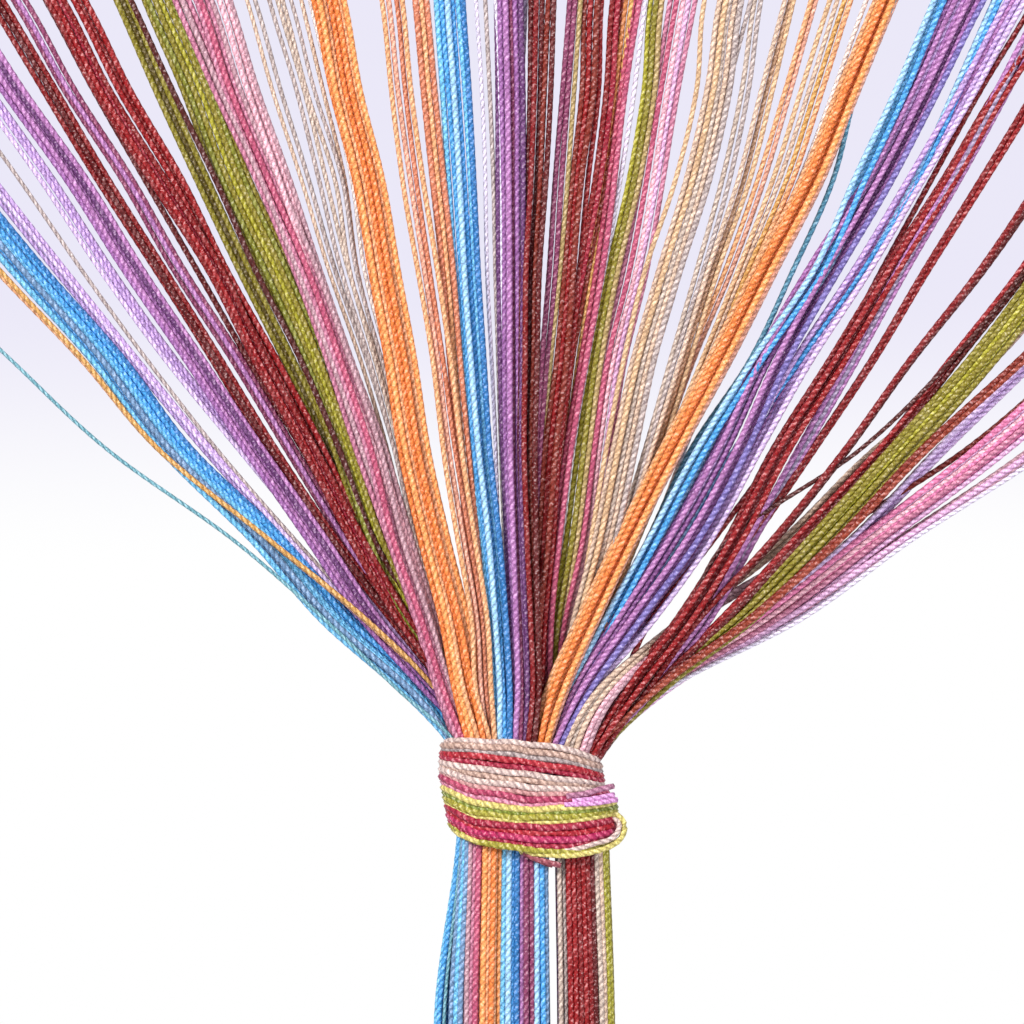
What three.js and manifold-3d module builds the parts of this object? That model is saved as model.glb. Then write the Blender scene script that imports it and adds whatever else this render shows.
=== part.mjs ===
// String curtain: a woven heading tape, a comb of fine strings that hangs from its lower
// edge, and a hank of string tied round the gathered bundle.
// Millimetres, +Z up, the curtain's face towards -Y. The origin is the middle of the
// heading's top edge.

import * as THREE from 'three';
import { mergeVertices } from 'three/addons/utils/BufferGeometryUtils.js';
import Module from 'manifold-3d';

const wasm = await Module();
wasm.setup();

// ---- sizes ---------------------------------------------------------------------------
const HEADING_WIDTH = 1000;      // the tape, along X
const HEADING_HEIGHT = 45;       // the tape, top edge to lower edge
const HEADING_THICK = 2.0;
const HEADING_FLAT = 26;         // how far down from the top edge the tape stays flat
const HEADING_WAVE = 1.3;        // how far its lower edge stands in and out
const HEADING_WAVES = 9;         // how many waves along its width
const PIECE_GAP = 0.3;           // air between two pieces

const STRING_PITCH = 4.4;        // along the heading
const STRING_LENGTH = 1955;      // heading's lower edge to the cut end
const STRING_AREA = 1.66;        // cross-section of one string, square mm
const STRING_THICK = 1.6;
const SEAM_HEIGHT = 3.6;         // knitted row that joins the strings at the top

const TIE_TOP = -700;            // top edge of the tie at its left end
const FAN_Z = TIE_TOP + 182.5;   // level of the bands table's x_fan
const NEAR_Z = TIE_TOP + 50;     // level of x_near
const NECK_Z = TIE_TOP + 3;      // where the bands enter the bundle
const TAIL_Z = TIE_TOP - 68;     // level of x_tail and y_tail

const BUNDLE_X = 19.1;           // half width of the bundle inside the tie
const BUNDLE_Y = 8.8;            // half depth
const BUNDLE_POWER = 2.6;        // its outline: 2 is an ellipse, more is squarer
const TIE_MIDDLE = -0.7;         // x of the bundle's middle half way down the tie
const TIE_LEAN = 0.9;            // how far it stands left of that at the top, right at the bottom

const TIE_WALL = 1.9;            // thickness of the winding between its ridges
const TIE_RIDGE = 0.9;           // how far each turn of the hank stands proud
const TIE_TURNS = 7;             // ridges from top to bottom
const TIE_STEPS = 32;            // facets round the bundle

// ---- bands of string, left to right along the heading ----------------------------------
// n strings; x at the first two levels above the tie; x, y in the bundle, from its middle;
// x, y below the tie
const BANDS = [
  { band: 'left_edge',      n: 4,  x_fan: -178, x_near: -68.5, x_neck: -15.9, y_neck:  3.0, x_tail: -17.5, y_tail:  2.6 },
  { band: 'left_blue',      n: 9,  x_fan: -168, x_near: -62.5, x_neck: -17.4, y_neck: -0.1, x_tail: -21.1, y_tail: -2.0 },
  { band: 'left_lilac',     n: 7,  x_fan: -152, x_near: -57.0, x_neck: -11.8, y_neck:  5.4, x_tail: -14.0, y_tail:  5.4 },
  { band: 'left_purple',    n: 6,  x_fan: -142, x_near: -52.5, x_neck: -12.6, y_neck:  1.2, x_tail: -12.6, y_tail:  1.0 },
  { band: 'left_plum',      n: 8,  x_fan: -128, x_near: -47.0, x_neck:  -7.9, y_neck:  5.8, x_tail:  -9.4, y_tail:  6.2 },
  { band: 'left_red',       n: 9,  x_fan: -113, x_near: -42.0, x_neck:  -8.6, y_neck:  2.0, x_tail:  -7.6, y_tail:  1.6 },
  { band: 'left_olive',     n: 10, x_fan:  -97, x_near: -38.5, x_neck:  -3.4, y_neck:  5.6, x_tail:  -4.4, y_tail:  6.4 },
  { band: 'left_pink',      n: 10, x_fan:  -80, x_near: -32.0, x_neck: -12.9, y_neck: -2.6, x_tail: -15.9, y_tail: -4.8 },
  { band: 'left_grey',      n: 8,  x_fan:  -62, x_near: -27.5, x_neck:  -4.3, y_neck:  1.6, x_tail:  -2.8, y_tail:  2.0 },
  { band: 'pale_orange',    n: 6,  x_fan:  -49, x_near: -23.4, x_neck: -12.8, y_neck: -5.6, x_tail: -11.2, y_tail: -6.0 },
  { band: 'orange',         n: 9,  x_fan:  -32, x_near: -15.2, x_neck:  -8.4, y_neck: -5.2, x_tail:  -6.6, y_tail: -5.6 },
  { band: 'blue',           n: 7,  x_fan:  -19, x_near:  -9.4, x_neck:  -4.3, y_neck: -5.6, x_tail:  -1.8, y_tail: -6.0 },
  { band: 'white_lilac',    n: 5,  x_fan:  -10, x_near:  -6.6, x_neck:  -3.9, y_neck: -2.0, x_tail:   1.2, y_tail: -1.6 },
  { band: 'purple',         n: 6,  x_fan:   -4, x_near:  -3.4, x_neck:  -0.6, y_neck: -5.6, x_tail:   2.5, y_tail: -6.2 },
  { band: 'dark_red',       n: 9,  x_fan:    6, x_near:   0.8, x_neck:   3.3, y_neck: -5.2, x_tail:   2.7, y_tail:  2.0 },
  { band: 'red_gold',       n: 7,  x_fan:   16, x_near:   4.6, x_neck:   7.5, y_neck: -5.3, x_tail:   4.3, y_tail:  6.2 },
  { band: 'rose',           n: 7,  x_fan:   27, x_near:   9.4, x_neck:  -0.3, y_neck:  0.2, x_tail:   7.5, y_tail:  0.9 },
  { band: 'pink',           n: 5,  x_fan:   40, x_near:  13.4, x_neck:   0.6, y_neck:  4.8, x_tail:   0.1, y_tail:  5.8 },
  { band: 'beige',          n: 7,  x_fan:   50, x_near:  17.4, x_neck:  15.7, y_neck: -4.0, x_tail:  10.6, y_tail: -5.6 },
  { band: 'grey',           n: 7,  x_fan:   61, x_near:  20.6, x_neck:   4.2, y_neck:  5.4, x_tail:   8.8, y_tail:  5.8 },
  { band: 'peach',          n: 9,  x_fan:   75, x_near:  23.8, x_neck:   3.9, y_neck:  1.2, x_tail:  12.2, y_tail:  2.4 },
  { band: 'right_orange',   n: 6,  x_fan:   88, x_near:  28.2, x_neck:   7.4, y_neck: -2.6, x_tail:  13.1, y_tail:  6.2 },
  { band: 'right_blue',     n: 5,  x_fan:   97, x_near:  32.6, x_neck:  10.8, y_neck: -2.6, x_tail:   6.5, y_tail: -5.8 },
  { band: 'right_purple',   n: 9,  x_fan:  108, x_near:  39.4, x_neck:  11.6, y_neck: -5.4, x_tail:   7.5, y_tail: -2.3 },
  { band: 'right_lilac',    n: 7,  x_fan:  119, x_near:  45.0, x_neck:   9.2, y_neck:  6.3, x_tail:  17.4, y_tail:  5.1 },
  { band: 'right_plum',     n: 6,  x_fan:  129, x_near:  49.6, x_neck:  11.5, y_neck: -0.1, x_tail:  16.8, y_tail:  2.1 },
  { band: 'right_red',      n: 8,  x_fan:  141, x_near:  54.0, x_neck:  16.3, y_neck: -1.1, x_tail:  15.2, y_tail: -4.9 },
  { band: 'right_olive',    n: 11, x_fan:  180, x_near:  73.5, x_neck:  13.6, y_neck:  5.0, x_tail:  20.4, y_tail: -2.0 },
  { band: 'right_beige',    n: 7,  x_fan:  203, x_near:  83.5, x_neck:  15.2, y_neck:  1.8, x_tail:  21.1, y_tail:  2.0 },
  { band: 'right_pink',     n: 11, x_fan:  221, x_near:  93.5, x_neck:   8.6, y_neck:  3.0, x_tail:  12.9, y_tail: -1.3 },
];

// ---- small helpers -----------------------------------------------------------------------
const mix = (a, b, t) => a + (b - a) * t;
const ease = (t) => t * t * (3 - 2 * t);
const leanX = (z) => TIE_MIDDLE - TIE_LEAN * Math.min(Math.max((z - (TIE_TOP - 15)) / 12, -1), 1);
const STRINGS = BANDS.reduce((sum, row) => sum + row.n, 0);

function solidOf(geometry) {
  for (const name of Object.keys(geometry.attributes)) {
    if (name !== 'position') geometry.deleteAttribute(name);
  }
  const merged = mergeVertices(geometry, 1e-4);
  const vertProperties = new Float32Array(merged.attributes.position.array);
  const triVerts = new Uint32Array(merged.index.array);
  let volume = 0;
  for (let i = 0; i < triVerts.length; i += 3) {
    const [a, b, c] = [0, 1, 2].map((k) => new THREE.Vector3().fromArray(vertProperties, 3 * triVerts[i + k]));
    volume += a.dot(b.cross(c)) / 6;
  }
  if (volume < 0) {
    for (let i = 0; i < triVerts.length; i += 3) {
      [triVerts[i], triVerts[i + 1]] = [triVerts[i + 1], triVerts[i]];
    }
  }
  return new wasm.Manifold(new wasm.Mesh({ numProp: 3, vertProperties, triVerts }));
}

// Back to a geometry. A pocket shut in between strings is filled: its shell faces inwards.
function geometryOf(solid) {
  const mesh = solid.getMesh();
  const { vertProperties: points, triVerts } = mesh;
  const root = Array.from({ length: points.length / 3 }, (_, i) => i);
  const find = (i) => { while (root[i] !== i) { root[i] = root[root[i]]; i = root[i]; } return i; };
  for (let i = 0; i < triVerts.length; i += 3) {
    for (const k of [1, 2]) root[find(triVerts[i + k])] = find(triVerts[i]);
  }
  const volumes = new Map();
  for (let i = 0; i < triVerts.length; i += 3) {
    const [a, b, c] = [0, 1, 2].map((k) => new THREE.Vector3().fromArray(points, 3 * triVerts[i + k]));
    const shell = find(triVerts[i]);
    volumes.set(shell, (volumes.get(shell) ?? 0) + a.dot(b.cross(c)) / 6);
  }
  const index = [];
  for (let i = 0; i < triVerts.length; i += 3) {
    if (volumes.get(find(triVerts[i])) > 0.5) index.push(triVerts[i], triVerts[i + 1], triVerts[i + 2]);
  }
  const geometry = new THREE.BufferGeometry();
  geometry.setAttribute('position', new THREE.BufferAttribute(new Float32Array(points), 3));
  geometry.setIndex(index);
  const flat = geometry.toNonIndexed();
  flat.computeVertexNormals();
  return flat;
}

// Solid through a run of rings that have the same number of points; the ends are closed.
function loft(rings) {
  const count = rings[0].length;
  const position = rings.flat().flat();
  const index = [];
  for (let r = 0; r + 1 < rings.length; r++) {
    for (let i = 0; i < count; i++) {
      const [a, b] = [r * count + i, r * count + (i + 1) % count];
      index.push(a, b, b + count, a, b + count, a + count);
    }
  }
  const last = (rings.length - 1) * count;
  for (let i = 1; i + 1 < count; i++) {
    index.push(0, i + 1, i, last, last + i, last + i + 1);
  }
  const geometry = new THREE.BufferGeometry();
  geometry.setAttribute('position', new THREE.Float32BufferAttribute(position, 3));
  geometry.setIndex(index);
  return geometry;
}

// Value at z of a smooth curve through knots [z, value], z falling.
function through(knots, z) {
  const slope = (i) => {
    const [a, b] = [Math.max(i - 1, 0), Math.min(i + 1, knots.length - 1)];
    return (knots[b][1] - knots[a][1]) / (knots[b][0] - knots[a][0]);
  };
  let i = 0;
  while (i < knots.length - 2 && z < knots[i + 1][0]) i++;
  const [[z0, v0], [z1, v1]] = [knots[i], knots[i + 1]];
  const [h, t] = [z1 - z0, Math.min(Math.max((z - z0) / (z1 - z0), 0), 1)];
  return (2 * t ** 3 - 3 * t ** 2 + 1) * v0 + (t ** 3 - 2 * t ** 2 + t) * h * slope(i)
    + (3 * t ** 2 - 2 * t ** 3) * v1 + (t ** 3 - t ** 2) * h * slope(i + 1);
}

// A band's flattened six-sided section.
const section = (x, y, z, width, thick) => [
  [x - width / 2, y, z], [x - width * 0.3, y - thick / 2, z], [x + width * 0.3, y - thick / 2, z],
  [x + width / 2, y, z], [x + width * 0.3, y + thick / 2, z], [x - width * 0.3, y + thick / 2, z],
];

const waveY = (x, z) => {
  const down = Math.min(Math.max((-z - HEADING_FLAT) / (HEADING_HEIGHT - HEADING_FLAT), 0), 1);
  return HEADING_WAVE * ease(down) * Math.sin((2 * Math.PI * HEADING_WAVES * x) / HEADING_WIDTH + 0.8);
};

// ---- heading ---------------------------------------------------------------------------
// Flat over its upper part; its lower edge, with the string row, stands in and out a little.
function headingGeometry() {
  const half = HEADING_THICK / 2;
  const profile = [[-half * 0.5, 0], [-half, -1.2]];
  for (const z of [HEADING_FLAT, 35, HEADING_HEIGHT - 1]) profile.push([-half, -z]);
  profile.push([-half * 0.5, -HEADING_HEIGHT], [half * 0.5, -HEADING_HEIGHT]);
  for (const z of [HEADING_HEIGHT - 1, 35, HEADING_FLAT]) profile.push([half, -z]);
  profile.push([half, -1.2], [half * 0.5, 0]);
  const rings = [];
  const stations = HEADING_WAVES * 3;
  for (let i = 0; i <= stations; i++) {
    const x = mix(-HEADING_WIDTH / 2, HEADING_WIDTH / 2, i / stations);
    rings.push(profile.map(([y, z]) => [x, y + waveY(x, z), z]));
  }
  return geometryOf(solidOf(loft(rings)));
}

// ---- bundle and tie outlines ---------------------------------------------------------------
// Point of the bundle's outline at angle a, grown outwards by `more`. a = 0 is right, the
// front is at 3/2 pi.
function outline(a, more) {
  const [c, s] = [Math.cos(a), Math.sin(a)];
  const r = (Math.abs(c / BUNDLE_X) ** BUNDLE_POWER + Math.abs(s / BUNDLE_Y) ** BUNDLE_POWER) ** (-1 / BUNDLE_POWER);
  const [x, y] = [r * c, r * s];
  const nx = Math.sign(c) * Math.abs(x / BUNDLE_X) ** (BUNDLE_POWER - 1) / BUNDLE_X;
  const ny = Math.sign(s) * Math.abs(y / BUNDLE_Y) ** (BUNDLE_POWER - 1) / BUNDLE_Y;
  const n = Math.hypot(nx, ny);
  return [x + (nx / n) * more, y + (ny / n) * more];
}
const front = (a) => Math.max(0, -Math.sin(a)) ** 1.5;
const tieTopZ = (a) => TIE_TOP - 2.6 - 3.2 * Math.cos(a) + 3.2 * front(a);
const tieBottomZ = (a) => TIE_TOP - 23.6 - 2.0 * Math.cos(a) - 5.4 * front(a);

// The wound ring. `grow` swells it on every side, for the room it takes in the bundle.
function ringGeometry(grow) {
  const inner = PIECE_GAP - grow;
  const rows = TIE_TURNS * 2;
  const rings = [];
  for (let i = 0; i < TIE_STEPS; i++) {
    const a = (2 * Math.PI * (i + 0.5)) / TIE_STEPS;
    const [top, bottom] = [tieTopZ(a) + grow, tieBottomZ(a) - grow];
    const point = (more, t) => { const [x, y] = outline(a, more); const z = mix(top, bottom, t); return [x + leanX(z), y, z]; };
    const ring = [point(inner, 0)];
    if (grow > 0) {
      ring.push(point(TIE_WALL + TIE_RIDGE + 14, 0), point(TIE_WALL + TIE_RIDGE + 14, 1));
    } else {
      for (let k = 1; k < rows; k++) {
        const t = k / rows;
        const ridge = k % 2;
        ring.push(point(TIE_WALL * Math.min(1, 6 * Math.min(t, 1 - t)) + TIE_RIDGE * ridge, t));
      }
    }
    ring.push(point(inner, 1));
    rings.push(ring);
  }
  const count = rings[0].length;
  const index = [];
  for (let r = 0; r < TIE_STEPS; r++) {
    const next = (r + 1) % TIE_STEPS;
    for (let i = 0; i < count; i++) {
      const j = (i + 1) % count;
      const [p, q, u, v] = [r * count + i, r * count + j, next * count + j, next * count + i];
      index.push(p, q, u, p, u, v);
    }
  }
  const geometry = new THREE.BufferGeometry();
  geometry.setAttribute('position', new THREE.Float32BufferAttribute(rings.flat().flat(), 3));
  geometry.setIndex(index);
  return geometry;
}

// ---- strings ---------------------------------------------------------------------------
function stringsGeometry() {
  const seamTop = -HEADING_HEIGHT - PIECE_GAP;
  const parts = [];

  // the knitted row along the heading's lower edge
  const seam = [];
  const stations = HEADING_WAVES * 3;
  const reach = (STRINGS * STRING_PITCH) / 2;
  for (let i = 0; i <= stations; i++) {
    const x = mix(-reach, reach, i / stations);
    const y = waveY(x, -HEADING_HEIGHT);
    seam.push([[x, y - 0.8, seamTop], [x, y - 0.8, seamTop - SEAM_HEIGHT], [x, y + 0.8, seamTop - SEAM_HEIGHT], [x, y + 0.8, seamTop]]);
  }
  parts.push(solidOf(loft(seam)));

  // the bundle inside the tie, drawn in a little above and below it
  const core = [];
  for (const { z, scale } of [{ z: TIE_TOP + 9, scale: 0.66 }, { z: TIE_TOP + 3, scale: 0.96 }, { z: TIE_TOP - 3, scale: 1 },
    { z: TIE_TOP - 30, scale: 1 }, { z: TIE_TOP - 38, scale: 0.92 }, { z: TIE_TOP - 46, scale: 0.62 }]) {
    const ring = [];
    for (let i = 0; i < 26; i++) {
      const [x, y] = outline((2 * Math.PI * (i + 0.5)) / 26, 0);
      ring.push([x * scale + leanX(z), y * scale, z]);
    }
    core.push(ring);
  }
  parts.push(solidOf(loft(core)));

  let before = 0;
  BANDS.forEach((row) => {
    const xTop = (before + row.n / 2 - STRINGS / 2) * STRING_PITCH;
    before += row.n;
    const neckWidth = Math.sqrt(row.n * STRING_AREA * 1.5);
    const neckThick = Math.sqrt((row.n * STRING_AREA) / 1.5);

    // heading to bundle
    const zTop = seamTop - SEAM_HEIGHT / 2;
    const knots = [[zTop, xTop], [FAN_Z, row.x_fan], [NEAR_Z, row.x_near], [NECK_Z, row.x_neck + leanX(NECK_Z)]];
    const rings = [];
    let length = 0;
    let last = null;
    const levels = [zTop, -300, FAN_Z, FAN_Z - 70, NEAR_Z, NEAR_Z - 22, NECK_Z, TIE_TOP - 6];
    for (const z of levels) {
      const t = Math.min((zTop - z) / (zTop - NECK_Z), 1);
      const x = z < NECK_Z ? row.x_neck * 0.97 + leanX(z) : through(knots, z);
      const y = mix(waveY(xTop, -HEADING_HEIGHT), row.y_neck, t ** 7) * (z < NECK_Z ? 0.97 : 1);
      const width = mix(row.n * STRING_PITCH - 2.4, neckWidth, t ** 0.75);
      const thick = mix(STRING_THICK, neckThick, t ** 5);
      rings.push(section(x, y, z, width, thick));
      if (last) length += Math.hypot(x - last[0], y - last[1], z - last[2]);
      last = [x, y, z];
    }
    parts.push(solidOf(loft(rings)));

    // bundle to the cut ends: what is left of the string's length hangs below the tie
    const start = TIE_TOP - 27;
    const end = start - (STRING_LENGTH - length - 21);
    const tail = [];
    for (const z of [start, start - 18, TAIL_Z, TAIL_Z - 330, TAIL_Z - 720, end]) {
      if (z < end) continue;
      const t = ease(Math.min((start - z) / (start - TAIL_Z), 1));
      const drop = Math.max(0, TAIL_Z - z) / (TAIL_Z - end);
      const sway = 2.4 * Math.sin(5.2 * drop + 0.1 * row.x_tail) * Math.min(1, 3 * drop);
      const x = mix(row.x_neck * 0.94 + leanX(start), row.x_tail * (1 + 0.34 * drop), t) + sway;
      const y = mix(row.y_neck * 0.94, row.y_tail * (1 + 0.34 * drop), t) - 0.6 * sway;
      const spread = mix(1, 1.12, drop);
      tail.push(section(x, y, z, neckWidth * spread, neckThick * spread));
    }
    parts.push(solidOf(loft(tail)));
  });

  const joined = parts.reduce((sum, piece) => sum.add(piece));
  return geometryOf(joined.subtract(solidOf(ringGeometry(PIECE_GAP))));
}

// ---- tie -------------------------------------------------------------------------------
// Loose pieces of the tie: a slack loop low on the right, and ends that stick out. Each
// route runs through points [degrees round the bundle, distance out from it, z].
const LOOSE = [
  { piece: 'slack_loop', thick: 2.0, route: [[-14, 1.4, -718.4], [-10, 3.4, -720.6], [-10, 4.9, -723.8], [-18, 3.4, -726.4], [-32, 1.4, -725.2]] },
  { piece: 'upper_end',  thick: 1.8, route: [[-30, 1.4, -712.6], [-22, 2.4, -712.0], [-17, 3.6, -711.4]] },
  { piece: 'lower_end',  thick: 1.8, route: [[-30, 1.4, -715.4], [-21, 2.6, -715.1], [-16, 3.8, -714.6]] },
  { piece: 'stub',       thick: 2.4, route: [[-100, 1.5, -727.0], [-80, 1.9, -729.4], [-50, 1.8, -730.6]] },
];

function tieGeometry() {
  let solid = solidOf(ringGeometry(0));
  for (const { thick, route } of LOOSE) {
    const shape = new THREE.Shape();
    for (let i = 0; i < 6; i++) {
      const a = (2 * Math.PI * (i + 0.5)) / 6;
      const [x, y] = [(thick / 2) * Math.cos(a), (thick / 2) * Math.sin(a)];
      if (i === 0) shape.moveTo(x, y); else shape.lineTo(x, y);
    }
    const path = new THREE.CatmullRomCurve3(route.map(([degrees, out, z]) => {
      const [x, y] = outline(THREE.MathUtils.degToRad(degrees), out);
      return new THREE.Vector3(x + leanX(z), y, z);
    }));
    solid = solid.add(solidOf(new THREE.ExtrudeGeometry(shape, { steps: 6, bevelEnabled: false, extrudePath: path })));
  }
  return geometryOf(solid);
}

// ---- scene graph -------------------------------------------------------------------------
const curtain = new THREE.Group();
const add = (name, geometry, color, roughness) => {
  const mesh = new THREE.Mesh(geometry, new THREE.MeshStandardMaterial({ color, roughness, metalness: 0 }));
  mesh.name = name;
  curtain.add(mesh);
};
add('heading', headingGeometry(), 0xc9a7b8, 0.85);
add('strings', stringsGeometry(), 0xb9637a, 0.55);
add('tie', tieGeometry(), 0xa8485a, 0.6);

export default curtain;
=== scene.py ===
"""String curtain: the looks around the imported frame.

A rainbow of twisted strings hangs from a woven heading, is gathered into a waist and held
there by a hank of string wound round it. Everything is in metres in the frame's axes (+Z up,
the face towards -Y, origin at the middle of the heading's top edge). The tables below are in
millimetres.
"""
import json
import math

import bpy
import numpy as np
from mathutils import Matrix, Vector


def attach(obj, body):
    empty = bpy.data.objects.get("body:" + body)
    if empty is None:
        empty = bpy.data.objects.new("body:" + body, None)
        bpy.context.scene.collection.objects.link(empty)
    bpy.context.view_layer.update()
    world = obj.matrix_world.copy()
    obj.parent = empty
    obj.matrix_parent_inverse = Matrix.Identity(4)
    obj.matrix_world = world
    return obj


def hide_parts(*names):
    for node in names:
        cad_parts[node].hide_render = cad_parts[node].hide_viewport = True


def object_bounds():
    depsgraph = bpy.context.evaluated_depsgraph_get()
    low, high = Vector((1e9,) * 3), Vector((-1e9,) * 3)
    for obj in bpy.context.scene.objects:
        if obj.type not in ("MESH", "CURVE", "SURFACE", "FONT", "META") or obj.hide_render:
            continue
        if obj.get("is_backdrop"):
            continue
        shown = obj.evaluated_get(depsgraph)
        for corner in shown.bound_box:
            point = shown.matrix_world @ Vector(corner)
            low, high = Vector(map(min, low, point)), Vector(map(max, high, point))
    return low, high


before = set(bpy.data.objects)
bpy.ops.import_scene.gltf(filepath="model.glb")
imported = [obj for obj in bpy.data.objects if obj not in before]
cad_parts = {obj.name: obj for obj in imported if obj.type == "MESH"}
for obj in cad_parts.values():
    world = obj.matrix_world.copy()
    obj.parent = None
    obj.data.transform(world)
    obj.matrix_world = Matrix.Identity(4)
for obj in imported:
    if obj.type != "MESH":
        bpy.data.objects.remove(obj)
CAD_BOX = [list(c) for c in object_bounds()]
MM = 0.001
scene = bpy.context.scene

# ---- sizes, as the frame has them --------------------------------------------------------
HEADING_WIDTH, HEADING_HEIGHT, HEADING_FLAT = 1000.0, 45.0, 26.0
HEADING_WAVE, HEADING_WAVES = 1.3, 9
STRING_PITCH, STRING_LENGTH = 4.4, 1955.0
TIE_TOP = -700.0
BUNDLE_X, BUNDLE_Y, BUNDLE_POWER = 19.1, 8.8, 2.6
TIE_MIDDLE, TIE_LEAN = -0.7, 0.9
NECK_Z, TAIL_Z = TIE_TOP + 3.0, TIE_TOP - 68.0

# one string: two plies twisted together
PLY_RADIUS, PLY_BEAT = 0.74, 0.08    # mean half width of the pair and how it swells, mm
STEP = 1.4                           # along the string, mm
TILE = 32                            # steps in one repeat of the map
COARSE, MEDIUM = 16, 8               # steps skipped where the string is far from the waist

# ---- the camera ----------------------------------------------------------------------------
VIEW_X, VIEW_Z, VIEW_WIDTH, VIEW_FAR = -4.0, -643.0, 256.0, 1700.0
cam_data = bpy.data.cameras.new("camera")
cam = bpy.data.objects.new("camera", cam_data)
scene.collection.objects.link(cam)
cam_data.sensor_width = 36.0
cam_data.lens = 36.0 * VIEW_FAR / VIEW_WIDTH
cam_data.clip_start, cam_data.clip_end = 0.05, 200.0
cam.location = (VIEW_X * MM, -VIEW_FAR * MM, VIEW_Z * MM)
cam.rotation_euler = (math.radians(90), 0, 0)
scene.camera = cam
scene.view_settings.view_transform = "Standard"
scene.view_settings.look = "None"

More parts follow.
